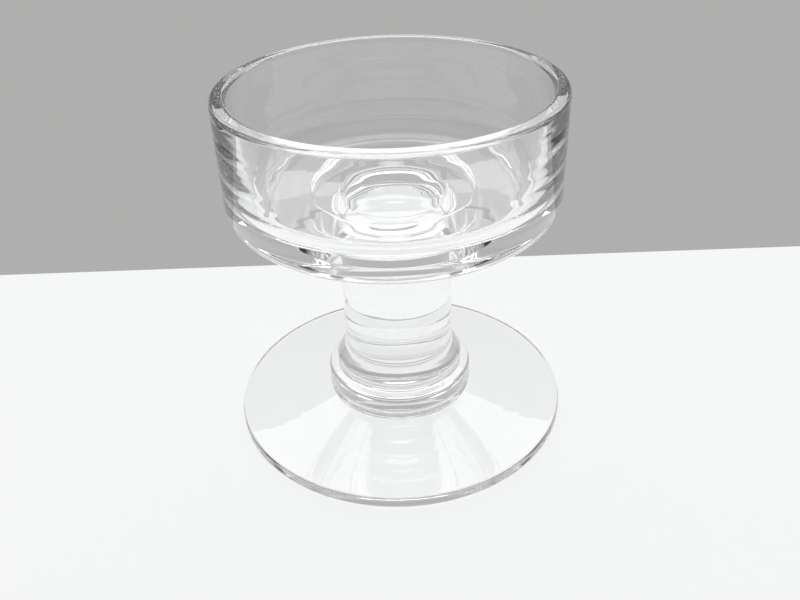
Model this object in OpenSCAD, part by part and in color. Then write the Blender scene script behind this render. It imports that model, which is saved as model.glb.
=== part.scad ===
// Tealight holder: a heavy, clear glass cup on a short solid stem, with a double collar
// and a wide round foot. Every piece is turned about one upright axis, so each module
// draws half of the piece's section and spins it. The pieces are fused on the axis, face
// to face, and nothing moves. The origin is on the axis, in the plane that the foot
// stands on, and +Z is up. All sizes are in millimetres.

/* [Overall] */
// Height of the rim above the table
height = 86.8; // [80:0.2:88]

/* [Cup] */
// Outer diameter of the cup
cup_d = 78.5; // [77.5:0.5:84]
// Thickness of the cup's wall at the rim
wall = 3.6; // [2.4:0.1:3.8]
// Lean of the wall's inside, which makes the wall thicker lower down, in degrees
draft = 4.5; // [1:0.5:6]
// Rounding of the rim's two edges
rim_r = 1.1; // [0.4:0.1:1.1]
// Height of the cup's underside above the table, at its outer, level part
base_z = 56.8; // [54:0.2:58]
// Rounding of the cup's lower outside corner
corner_r = 6; // [3:0.5:8]
// Wide hollow curve between the floor and the wall, inside
bowl_r = 6; // [3:0.5:9]

/* [Tealight seat] */
// Diameter of the round seat in the floor
seat_d = 39.4; // [38.4:0.2:39.6]
// Height of the seat's floor above the table
seat_z = 60; // [59.6:0.2:62]
// Depth of the seat below the floor around it
seat_depth = 2.2; // [1.8:0.1:2.8]
// Rounding of the seat's edge
seat_lip_r = 0.3; // [0.1:0.1:0.4]
// Hollow curve round the seat's floor
seat_corner_r = 0.6; // [0.3:0.1:1.4]

/* [Candle recess] */
// Diameter of the recess in the middle of the seat
recess_d = 23.6; // [20:0.2:25]
// Depth of the recess below the seat
recess_depth = 5.2; // [4:0.2:6]
// Rounding of the recess's lip
recess_lip_r = 1.4; // [0.5:0.1:1.6]
// Rounding at the bottom of the recess
recess_r = 1.0; // [0.5:0.1:1.5]

/* [Stem] */
// Diameter of the stem
stem_d = 27.4; // [25:0.2:30]
// Length of the neck under the cup, which holds the bottom of the recess
neck_h = 6; // [5.5:0.5:8]
// Diameter at which the spreading neck has run out into the cup's level underside
spread_d = 60; // [50:1:61]
// How far the spreading neck rises between its hollow curve and that diameter
spread_h = 2.4; // [1.6:0.2:2.8]
// Hollow curve where the neck starts to spread
flare_r = 2; // [1:0.5:2.5]

/* [Collar] */
// Widest diameter of the lower, larger ring
collar_d = 37.2; // [34:0.2:40]
// Height of the lower ring
collar_h = 6.4; // [5.6:0.2:7]
// Widest diameter of the upper, smaller ring
shoulder_d = 33.2; // [31:0.2:34]
// Height of the upper ring
shoulder_h = 6; // [4:0.2:7]
// Rounding of the upper ring's edge
shoulder_r = 1.4; // [0.5:0.1:1.6]

/* [Foot] */
// Diameter of the foot
foot_d = 85; // [80:0.5:92]
// Thickness of the foot at its edge, below the rounding
foot_edge = 3.1; // [2.4:0.1:4]
// Thickness of the foot where the collar stands on it
foot_middle = 7.2; // [5:0.1:7.6]
// Diameter at which the foot's top turns from its gentle outer slope to its steeper inner one
foot_bend_d = 54; // [44:1:64]
// Thickness of the foot at that turn
foot_bend = 4.6; // [4.1:0.1:4.9]
// Rounding of the foot's edge
foot_r = 1; // [0.5:0.1:1.2]

/* [Hidden] */
cup_r = cup_d / 2;
inner_r = cup_r - wall;
seat_r = seat_d / 2;
recess_wall_r = recess_d / 2;
recess_z = seat_z - recess_depth;
stem_r = stem_d / 2;
collar_r = collar_d / 2;
shoulder_wide_r = shoulder_d / 2;
foot_wide_r = foot_d / 2;
foot_bend_r = foot_bend_d / 2;
// Floor around the seat, where the bowl's curve starts
floor_z = seat_z + seat_depth;
// Height of the leaning wall's upper end, where the rim's rounding starts
lean_top_z = height - rim_r;
// Lower end of the leaning wall, where it runs into the bowl's curve
lean_low_z = floor_z + bowl_r * (1 - sin(draft));
lean_low_r = inner_r - (lean_top_z - lean_low_z) * tan(draft);
// Centre of the bowl's curve
bowl_centre_r = lean_low_r - bowl_r * cos(draft);
bowl_centre_z = floor_z + bowl_r;
// The pieces meet on these level planes, from the foot upwards
collar_z = foot_middle;
shoulder_z = collar_z + collar_h;
stem_z = shoulder_z + shoulder_h;
neck_z = base_z - neck_h;
// Shallow cone under the cup, from the neck's hollow curve outwards
spread_r = spread_d / 2;
spread_z = base_z - spread_h;
// How far a cut runs past the face that it opens
past = 1;
smooth = 180;

// Turns half a section, drawn at X >= 0 with Y as the height, about the upright axis
module turn()
{
    rotate_extrude($fn = smooth)
        children();
}

// Level band of a section from the axis out to a radius, between two heights
module band(radius, low, high)
{
    translate([0, low])
        square([radius, high - low]);
}

// Round of radius r, centred at a radius and a height
module round_at(radius, level, r)
{
    translate([radius, level])
        circle(r, $fn = smooth);
}

// What a hollow curve of radius r leaves in a corner at a radius and a height. It lies
// outwards of the corner and below it.
module cove_at(radius, level, r)
{
    difference()
    {
        translate([radius, level - r])
            square(r);
        round_at(radius + r, level - r, r);
    }
}

// Cup's outside up to the rim: level underside, rounded lower corner, straight side
module cup_outside()
{
    corner_z = base_z + corner_r;
    band(cup_r, corner_z, lean_top_z);
    band(cup_r - corner_r, base_z, corner_z);
    round_at(cup_r - corner_r, corner_z, corner_r);
}

// Air inside the cup: level floor, wide hollow curve, leaning wall
module cup_inside()
{
    band(bowl_centre_r, floor_z, lean_low_z);
    round_at(bowl_centre_r, bowl_centre_z, bowl_r);
    polygon([
        [0, lean_low_z],
        [lean_low_r, lean_low_z],
        [inner_r, lean_top_z],
        [inner_r, height + past],
        [0, height + past]
    ]);
}

// Top of the rim: a level strip between two rounded edges
module rim()
{
    translate([inner_r + rim_r, height - 2 * rim_r])
        square([wall - 2 * rim_r, 2 * rim_r]);
    round_at(inner_r + rim_r, height - rim_r, rim_r);
    round_at(cup_r - rim_r, height - rim_r, rim_r);
}

// Air in the seat, with a rounded edge and a hollow curve round its floor
module seat()
{
    band(seat_r, seat_z + seat_corner_r, floor_z + past);
    band(seat_r - seat_corner_r, seat_z, seat_z + seat_corner_r);
    round_at(seat_r - seat_corner_r, seat_z + seat_corner_r, seat_corner_r);
    cove_at(seat_r, floor_z, seat_lip_r);
}

// Air in the recess, with a rounded lip and a rounded bottom corner
module recess()
{
    band(recess_wall_r, recess_z + recess_r, seat_z + past);
    band(recess_wall_r - recess_r, recess_z, recess_z + recess_r);
    round_at(recess_wall_r - recess_r, recess_z + recess_r, recess_r);
    cove_at(recess_wall_r, seat_z, recess_lip_r);
}

// Neck under the cup: as thick as the stem, then a hollow curve, then a shallow cone that
// runs out into the cup's underside
module neck_outside()
{
    band(stem_r, neck_z, spread_z);
    cove_at(stem_r, spread_z, flare_r);
    polygon([
        [0, spread_z],
        [stem_r + flare_r, spread_z],
        [spread_r, base_z],
        [0, base_z]
    ]);
}

module cup()
{
    color([0.90, 0.94, 0.94, 0.45])
        turn()
        {
            difference()
            {
                union()
                {
                    cup_outside();
                    neck_outside();
                }
                cup_inside();
                seat();
                recess();
            }
            rim();
        }
}

module stem()
{
    color([0.84, 0.90, 0.91, 0.45])
        translate([0, 0, stem_z])
            cylinder(h = neck_z - stem_z, r = stem_r, $fn = smooth);
}

// Upper ring: a short cone with a rounded edge
module shoulder_ring()
{
    edge_r = shoulder_wide_r - shoulder_r;
    edge_z = shoulder_z + shoulder_r;
    color([0.80, 0.87, 0.89, 0.45])
        turn()
        {
            band(edge_r, shoulder_z, edge_z);
            polygon([[0, edge_z], [shoulder_wide_r, edge_z], [stem_r, stem_z], [0, stem_z]]);
            round_at(edge_r, edge_z, shoulder_r);
        }
}

// Lower ring: a disc with a fully round edge
module collar_ring()
{
    bead_r = collar_h / 2;
    color([0.76, 0.84, 0.87, 0.45])
        turn()
        {
            band(collar_r - bead_r, collar_z, shoulder_z);
            round_at(collar_r - bead_r, collar_z + bead_r, bead_r);
        }
}

// Foot: a disc whose top falls from the collar to the edge, steeply and then gently
module foot()
{
    flat_r = collar_r - collar_h / 2;
    edge_r = foot_wide_r - foot_r;
    color([0.86, 0.91, 0.92, 0.45])
        turn()
        {
            polygon([
                [0, 0],
                [edge_r, 0],
                [edge_r, foot_edge],
                [foot_bend_r, foot_bend],
                [flat_r, foot_middle],
                [0, foot_middle]
            ]);
            translate([0, foot_r])
                square([foot_wide_r, foot_edge - 2 * foot_r]);
            round_at(edge_r, foot_r, foot_r);
            round_at(edge_r, foot_edge - foot_r, foot_r);
        }
}

cup();
stem();
shoulder_ring();
collar_ring();
foot();
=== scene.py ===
"""Looks of the tealight holder: one clear glass holder on a pale floor, in soft light.

The glass is five skins, one for each CAD node. Each is part of the holder's section,
turned about the upright axis, and stops where it meets the next one, so that together
they bound one solid of fused glass with nothing drawn inside it. Blender's lengths are in
metres. The section and the names that end in _MM are in millimetres.
"""
import math

import bmesh
import bpy
from mathutils import Matrix, Vector


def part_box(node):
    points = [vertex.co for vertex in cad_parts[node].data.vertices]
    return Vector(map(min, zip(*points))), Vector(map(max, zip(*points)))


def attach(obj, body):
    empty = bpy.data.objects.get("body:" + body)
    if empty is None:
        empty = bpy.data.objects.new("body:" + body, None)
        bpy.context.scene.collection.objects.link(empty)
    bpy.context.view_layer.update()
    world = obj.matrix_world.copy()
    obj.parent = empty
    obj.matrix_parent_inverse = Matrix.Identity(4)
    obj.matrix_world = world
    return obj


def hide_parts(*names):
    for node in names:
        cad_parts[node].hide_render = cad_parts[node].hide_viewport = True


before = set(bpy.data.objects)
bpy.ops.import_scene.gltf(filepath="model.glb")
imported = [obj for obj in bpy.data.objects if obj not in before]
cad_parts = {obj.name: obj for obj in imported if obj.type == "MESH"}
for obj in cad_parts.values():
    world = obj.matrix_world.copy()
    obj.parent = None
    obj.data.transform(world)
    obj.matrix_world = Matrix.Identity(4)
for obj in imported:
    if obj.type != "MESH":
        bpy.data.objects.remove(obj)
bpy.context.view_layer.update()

MM = 0.001

# Fineness of the skins
TURNS = 360                    # facets round the axis
ARC_STEP = math.radians(4.0)   # facets along a rounded corner of the section
ARC_LEAST = 3                  # fewest facets in a rounded corner
LONGEST_MM = 3.0               # longest straight facet along the section
EDGE_MM = 0.06                 # narrow facet that keeps a flat face flat beside a curve
CUT_UP_PAST_MM = 8 * EDGE_MM   # straight runs shorter than this stay whole
SHARP = math.radians(40)       # edges sharper than this aren't smoothed over

# The cup, as in part.scad
WALL_MM = 3.6
DRAFT = math.radians(4.5)
RIM_R_MM = 1.1
BASE_Z_MM = 56.8
CORNER_R_MM = 6.0
BOWL_R_MM = 6.0
SEAT_R_MM = 19.7
SEAT_Z_MM = 60.0
SEAT_DEPTH_MM = 2.2
SEAT_CORNER_MM = 0.6
SEAT_LIP_MM = 0.3
RECESS_R_MM = 11.8
RECESS_Z_MM = 54.8
RECESS_LIP_MM = 1.4
RECESS_CORNER_MM = 1.0
SPREAD_R_MM = 30.0
SPREAD_H_MM = 2.4
FLARE_R_MM = 2.0

# The rings and the foot, as in part.scad
SHOULDER_EDGE_MM = 1.4
FOOT_EDGE_MM = 3.1
FOOT_EDGE_R_MM = 1.0
FOOT_BEND_R_MM = 27.0
FOOT_BEND_Z_MM = 4.6

# Shapes that only the looks have. Where the forms are fused, the glass has run together
# into small hollow curves, and the lower ring's edge is squarer than part.scad's round one.
SPREAD_BLEND_MM = 6.0
STEM_BLEND_MM = 4.0
GROOVE_R_MM = 0.8
GROOVE_IN_MM = 1.2             # how far inside the upper ring's edge the groove lies
FOOT_BLEND_MM = 1.0
FOOT_CURVE_MM = 110.0          # soft curve over the bend in the foot's top
BEAD_CORNER = 0.35             # place of the lower ring's corners, in halves of its height
BEAD_ROUND = 0.5               # rounding of those corners, in halves of its height


# ---------------------------------------------------------------- the section

def span_mm(node):
    """Widest radius, lowest level and highest level of a CAD node, in millimetres."""
    low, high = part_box(node)
    return high.x / MM, low.z / MM, high.z / MM


def rounded(corners):
    """Corners (radius, level, rounding) as a finely stepped outline."""
    out = []
    last = len(corners) - 1
    for i, (r, z, rounding) in enumerate(corners):
        here = Vector((r, z))
        if i in (0, last) or rounding <= 0:
            out.append(here)
            continue
        to_prev = (Vector(corners[i - 1][:2]) - here).normalized()
        to_next = (Vector(corners[i + 1][:2]) - here).normalized()
        half = to_prev.angle(to_next) / 2
        run = rounding / math.tan(half)
        middle = here + (to_prev + to_next).normalized() * (rounding / math.sin(half))
        first = here + to_prev * run - middle
        second = here + to_next * run - middle
        sweep = math.atan2(first.x * second.y - first.y * second.x, first.dot(second))
        steps = max(ARC_LEAST, math.ceil(abs(sweep) / ARC_STEP))
        for k in range(steps + 1):
            a = sweep * k / steps
            out.append(middle + Vector((
                first.x * math.cos(a) - first.y * math.sin(a),
                first.x * math.sin(a) + first.y * math.cos(a))))
    return out


def stepped(line):
    """The outline with its straight runs cut up, most finely beside their ends."""
    out = [line[0]]
    for p, q in zip(line, line[1:]):
        length = (q - p).length
        if length < 1e-5:
            continue
        marks = []
        if length > CUT_UP_PAST_MM:
            parts = math.ceil(length / LONGEST_MM)
            inner = [k / parts for k in range(1, parts)]
            marks = [EDGE_MM / length] + inner + [1 - EDGE_MM / length]
        out += [p.lerp(q, m) for m in marks] + [q]
    return out


def holder_outline():
    """The whole holder's section, from the middle of the foot's underside, up the outside,
    over the rim and down the inside to the middle of the recess."""
    cup_r, _, rim_z = span_mm("cup")
    stem_r, stem_z, _ = span_mm("stem")
    shoulder_r, shoulder_z, _ = span_mm("shoulder_ring")
    bead_r, bead_low, bead_high = span_mm("collar_ring")
    foot_r, _, foot_top = span_mm("foot")
    half_bead = (bead_high - bead_low) / 2
    floor_z = SEAT_Z_MM + SEAT_DEPTH_MM
    inner_r = cup_r - WALL_MM
    low_inner_r = inner_r - (rim_z - RIM_R_MM - floor_z) * math.tan(DRAFT)
    return stepped(rounded([
        (0, 0, 0),
        (foot_r, 0, FOOT_EDGE_R_MM),
        (foot_r, FOOT_EDGE_MM, FOOT_EDGE_R_MM),
        (FOOT_BEND_R_MM, FOOT_BEND_Z_MM, FOOT_CURVE_MM),
        (bead_r - half_bead, foot_top, FOOT_BLEND_MM),
        (bead_r, bead_low + half_bead * BEAD_CORNER, half_bead * BEAD_ROUND),
        (bead_r, bead_high - half_bead * BEAD_CORNER, half_bead * BEAD_ROUND),
        (shoulder_r - GROOVE_IN_MM, bead_high, GROOVE_R_MM),
        (shoulder_r, shoulder_z + SHOULDER_EDGE_MM, SHOULDER_EDGE_MM),
        (stem_r, stem_z, STEM_BLEND_MM),
        (stem_r, BASE_Z_MM - SPREAD_H_MM, FLARE_R_MM),
        (SPREAD_R_MM, BASE_Z_MM, SPREAD_BLEND_MM),
        (cup_r, BASE_Z_MM, CORNER_R_MM),
        (cup_r, rim_z, RIM_R_MM),
        (inner_r, rim_z, RIM_R_MM),
        (low_inner_r, floor_z, BOWL_R_MM),
        (SEAT_R_MM, floor_z, SEAT_LIP_MM),
        (SEAT_R_MM, SEAT_Z_MM, SEAT_CORNER_MM),
        (RECESS_R_MM, SEAT_Z_MM, RECESS_LIP_MM),
        (RECESS_R_MM, RECESS_Z_MM, RECESS_CORNER_MM),
        (0, RECESS_Z_MM, 0),
    ]))


def cut_up(line, levels):
    """The outline in pieces, cut where it first climbs past each level."""
    parts, part = [], [line[0]]
    waiting = list(levels)
    for p, q in zip(line, line[1:]):
        while waiting and p.y <= waiting[0] < q.y:
            crossing = p.lerp(q, (waiting[0] - p.y) / (q.y - p.y))
            part.append(crossing)
            parts.append(part)
            part = [crossing]
            waiting.pop(0)
        if (q - part[-1]).length > 1e-6:
            part.append(q)
    return parts + [part]


def turned(name, line):
    """Skin made by turning an outline about the upright axis."""
    bm = bmesh.new()
    rings = []
    for p in line:
        if p.x < 1e-6:
            rings.append([bm.verts.new((0, 0, p.y * MM))])
            continue
        rings.append([
            bm.verts.new((
                p.x * MM * math.cos(2 * math.pi * k / TURNS),
                p.x * MM * math.sin(2 * math.pi * k / TURNS),
                p.y * MM))
            for k in range(TURNS)])
    for one, two in zip(rings, rings[1:]):
        for k in range(TURNS):
            n = (k + 1) % TURNS
            if len(one) == 1:
                bm.faces.new((one[0], two[n], two[k]))
            elif len(two) == 1:
                bm.faces.new((one[k], one[n], two[0]))
            else:
                bm.faces.new((one[k], one[n], two[n], two[k]))
    mesh = bpy.data.meshes.new(name)
    bm.to_mesh(mesh)
    bm.free()
    mesh.shade_smooth()
    mesh.set_sharp_from_angle(angle=SHARP)
    piece = bpy.data.objects.new(name, mesh)
    bpy.context.scene.collection.objects.link(piece)
    return piece


# ---------------------------------------------------------------- materials

GLASS_COLOUR = (0.994, 0.998, 0.996, 1)
GLASS_IOR = 1.52
WAVE_SCALE = 20.0              # long unevenness, about 50 mm from crest to crest
RIPPLE_SCALE = 330.0           # short unevenness, about 3 mm
SMEAR_SCALE = 150.0
SMEAR_FROM, SMEAR_TO = 0.55, 0.80   # part of the smears' noise that shows

def new_material(name):
    """A material and its node tree, emptied."""
    material = bpy.data.materials.new(name)
    material.use_nodes = True
    tree = material.node_tree
    tree.nodes.clear()
    return material, tree


def add_node(tree, kind, **settings):
    """A node with its properties set; numbers in `inputs` go on its sockets by name."""
    node = tree.nodes.new(kind)
    for key, value in settings.pop("inputs", {}).items():
        node.inputs[key].default_value = value
    for key, value in settings.items():
        setattr(node, key, value)
    return node


def noise(tree, place, scale, detail=2.0, stretch=(1, 1, 1)):
    """A noise texture in the object's own metres, stretched along its axes."""
    fit = add_node(tree, "ShaderNodeMapping", inputs={"Scale": stretch})
    tree.links.new(place, fit.inputs["Vector"])
    texture = add_node(tree, "ShaderNodeTexNoise", inputs={"Scale": scale, "Detail": detail})
    tree.links.new(fit.outputs["Vector"], texture.inputs["Vector"])
    return texture.outputs["Fac"]


def bumped(tree, height, distance, under=None):
    """A bump of a texture's height, in metres, on top of another bump if there is one."""
    bump = add_node(tree, "ShaderNodeBump", inputs={"Strength": 1.0, "Distance": distance})
    tree.links.new(height, bump.inputs["Height"])
    if under is not None:
        tree.links.new(under, bump.inputs["Normal"])
    return bump.outputs["Normal"]


def glass_material(name, wave, ripple, haze, bands=1):
    """Polished, clear and colourless glass. wave and ripple are the heights, in metres, of
    its long and short unevenness, and haze is how rough the smears of handling are. bands
    squeezes the long waves upright, so that they run round the glass in level bands."""
    material, tree = new_material(name)
    link = tree.links.new
    out = add_node(tree, "ShaderNodeOutputMaterial")
    glass = add_node(tree, "ShaderNodeBsdfPrincipled", inputs={
        "Base Color": GLASS_COLOUR,
        "IOR": GLASS_IOR,
        "Transmission Weight": 1.0,
    })
    link(glass.outputs["BSDF"], out.inputs["Surface"])
    place = add_node(tree, "ShaderNodeTexCoord").outputs["Object"]
    normal = bumped(tree, noise(tree, place, WAVE_SCALE, 1.0, (1, 1, bands)), wave)
    normal = bumped(tree, noise(tree, place, RIPPLE_SCALE, 2.0), ripple, normal)
    link(normal, glass.inputs["Normal"])
    smear = noise(tree, place, SMEAR_SCALE, 5.0)
    rough = add_node(tree, "ShaderNodeMapRange", inputs={
        "From Min": SMEAR_FROM, "From Max": SMEAR_TO, "To Min": 0.0, "To Max": haze})
    link(smear, rough.inputs["Value"])
    link(rough.outputs["Result"], glass.inputs["Roughness"])
    return material


# ---------------------------------------------------------------- pieces

def make_holder():
    """The five skins, from the foot up to the cup."""
    names = ["foot", "collar_ring", "shoulder_ring", "stem", "cup"]
    levels = [span_mm(n)[1] for n in names[1:]]
    clear = glass_material("clear_glass", wave=1.1e-4, ripple=1e-6, haze=0.02, bands=12)
    worn = glass_material("foot_glass", wave=1.2e-4, ripple=8e-6, haze=0.05)
    for node, line in zip(names, cut_up(holder_outline(), levels)):
        piece = turned(node + "_glass", line)
        piece.data.materials.append(worn if node == "foot" else clear)
        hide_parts(node)
        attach(piece, "root")


# ---------------------------------------------------------------- stage, light, camera

FAR = 3.0                      # half the stage's width, and its depth
FLOOR_Z = -0.0003              # a hair under the foot, as air is under the real one
WALL_Y = 0.0722                # where the pale floor ends
WALL_TOP = 0.092
WALL_COLOUR = (1, 1, 0.99, 1)
WALL_LIGHT = 0.43              # brightness of the grey backdrop
PAPER_COLOUR = (0.12, 0.121, 0.121, 1)
PAPER_GLOW_COLOUR = (0.99, 1.0, 1.0, 1)
PAPER_GLOW = 0.84
ROOM_LOW, ROOM_HIGH = 0.13, 0.45    # brightness of the room below and overhead
ROOM_FROM, ROOM_TO = 0.17, 0.82     # how steeply up the room turns from one to the other

BOX_LIGHT = 2.0                # brightness of the soft box
BOX_Y = 0.55
BOX_LOW, BOX_HIGH = 0.285, 1.30
BOX_WIDTH = 1.6

CAMERA_AT = (0, -0.1768, 0.1451)
PITCH, YAW, ROLL = 0.57611, 0.003747, -0.034229   # downwards, to the right, tilted
SENSOR_MM = 36.0
LENS_MM = 37.127
CLIP = (0.005, 20.0)


def plane(name, corners):
    """A flat four-cornered stage piece."""
    mesh = bpy.data.meshes.new(name)
    mesh.from_pydata(corners, [], [(0, 1, 2, 3)])
    piece = bpy.data.objects.new(name, mesh)
    bpy.context.scene.collection.objects.link(piece)
    return piece


def emitting(name, colour, strength):
    """A material of even brightness."""
    material, tree = new_material(name)
    out = add_node(tree, "ShaderNodeOutputMaterial")
    glow = add_node(tree, "ShaderNodeEmission", inputs={"Color": colour, "Strength": strength})
    tree.links.new(glow.outputs["Emission"], out.inputs["Surface"])
    return material


def paper_material():
    """White paper, lit evenly enough to hold back the shadow and to shine up into the foot."""
    material, tree = new_material("paper")
    out = add_node(tree, "ShaderNodeOutputMaterial")
    paper = add_node(tree, "ShaderNodeBsdfPrincipled", inputs={
        "Base Color": PAPER_COLOUR, "Roughness": 0.9, "Specular IOR Level": 0.1,
        "Emission Color": PAPER_GLOW_COLOUR, "Emission Strength": PAPER_GLOW})
    tree.links.new(paper.outputs["BSDF"], out.inputs["Surface"])
    return material


def level_strip(near, back):
    """Corners of a level strip as wide as the stage, between two places on Y."""
    return [
        (-FAR, near, FLOOR_Z), (FAR, near, FLOOR_Z),
        (FAR, back, FLOOR_Z), (-FAR, back, FLOOR_Z)]


def make_stage():
    """A pale floor, and beyond its end a grey one and a grey backdrop. The camera doesn't
    see the backdrop itself, which is there for the glass to bend and reflect."""
    floor = plane("floor", level_strip(-FAR, WALL_Y))
    floor.data.materials.append(paper_material())
    back = plane("floor_back", level_strip(WALL_Y, FAR))
    back.data.materials.append(emitting("backdrop_grey", WALL_COLOUR, WALL_LIGHT))
    wall = plane("backdrop", [
        (-FAR, WALL_Y, FLOOR_Z), (FAR, WALL_Y, FLOOR_Z),
        (FAR, WALL_Y, WALL_TOP), (-FAR, WALL_Y, WALL_TOP)])
    wall.data.materials.append(back.data.materials[0])
    wall.visible_camera = False
    wall.visible_diffuse = False
    wall.visible_shadow = False


def make_world():
    """A room that is dim below and paler above. The camera sees it as plain grey."""
    world = bpy.data.worlds.new("room")
    bpy.context.scene.world = world
    world.use_nodes = True
    tree = world.node_tree
    tree.nodes.clear()
    link = tree.links.new
    out = add_node(tree, "ShaderNodeOutputWorld")
    sky = add_node(tree, "ShaderNodeBackground")
    link(sky.outputs["Background"], out.inputs["Surface"])
    place = add_node(tree, "ShaderNodeTexCoord")
    split = add_node(tree, "ShaderNodeSeparateXYZ")
    link(place.outputs["Generated"], split.inputs["Vector"])
    room = add_node(tree, "ShaderNodeMapRange", interpolation_type="SMOOTHSTEP", inputs={
        "From Min": ROOM_FROM, "From Max": ROOM_TO, "To Min": ROOM_LOW, "To Max": ROOM_HIGH})
    link(split.outputs["Z"], room.inputs["Value"])
    path = add_node(tree, "ShaderNodeLightPath")
    seen = add_node(tree, "ShaderNodeMix", data_type="FLOAT")
    link(path.outputs["Is Camera Ray"], seen.inputs[0])
    link(room.outputs["Result"], seen.inputs[2])
    seen.inputs[3].default_value = WALL_LIGHT
    link(seen.outputs[0], sky.inputs["Strength"])


def make_light():
    """One large soft box beyond the backdrop, well above the backdrop's top."""
    height = BOX_HIGH - BOX_LOW
    light = bpy.data.lights.new("soft_box", "AREA")
    light.shape = "RECTANGLE"
    light.size, light.size_y = BOX_WIDTH, height
    light.energy = BOX_LIGHT * math.pi * BOX_WIDTH * height
    box = bpy.data.objects.new("soft_box", light)
    bpy.context.scene.collection.objects.link(box)
    box.location = (0, BOX_Y, (BOX_LOW + BOX_HIGH) / 2)
    box.rotation_euler = (math.radians(-90), 0, 0)
    box.visible_camera = False


def make_camera():
    """The photograph's viewing angle: 33 degrees down, a little rolled."""
    ahead = Vector((
        math.sin(YAW) * math.cos(PITCH),
        math.cos(YAW) * math.cos(PITCH),
        -math.sin(PITCH)))
    level = Vector((math.cos(YAW), -math.sin(YAW), 0))
    upright = level.cross(ahead)
    right = math.cos(ROLL) * level + math.sin(ROLL) * upright
    up = -math.sin(ROLL) * level + math.cos(ROLL) * upright
    data = bpy.data.cameras.new("camera")
    data.sensor_width = SENSOR_MM
    data.lens = LENS_MM
    data.clip_start, data.clip_end = CLIP
    camera = bpy.data.objects.new("camera", data)
    bpy.context.scene.collection.objects.link(camera)
    turn = Matrix((right, up, -ahead)).transposed().to_4x4()
    camera.matrix_world = Matrix.Translation(CAMERA_AT) @ turn
    bpy.context.scene.camera = camera


def set_light_paths():
    """Enough bounces for light to get through thick glass."""
    scene = bpy.context.scene
    scene.view_settings.view_transform = "Standard"
    scene.cycles.max_bounces = 32
    scene.cycles.transmission_bounces = 32
    scene.cycles.glossy_bounces = 16
    scene.cycles.blur_glossy = 0.0


make_camera()
make_holder()
make_stage()
make_world()
make_light()
set_light_paths()
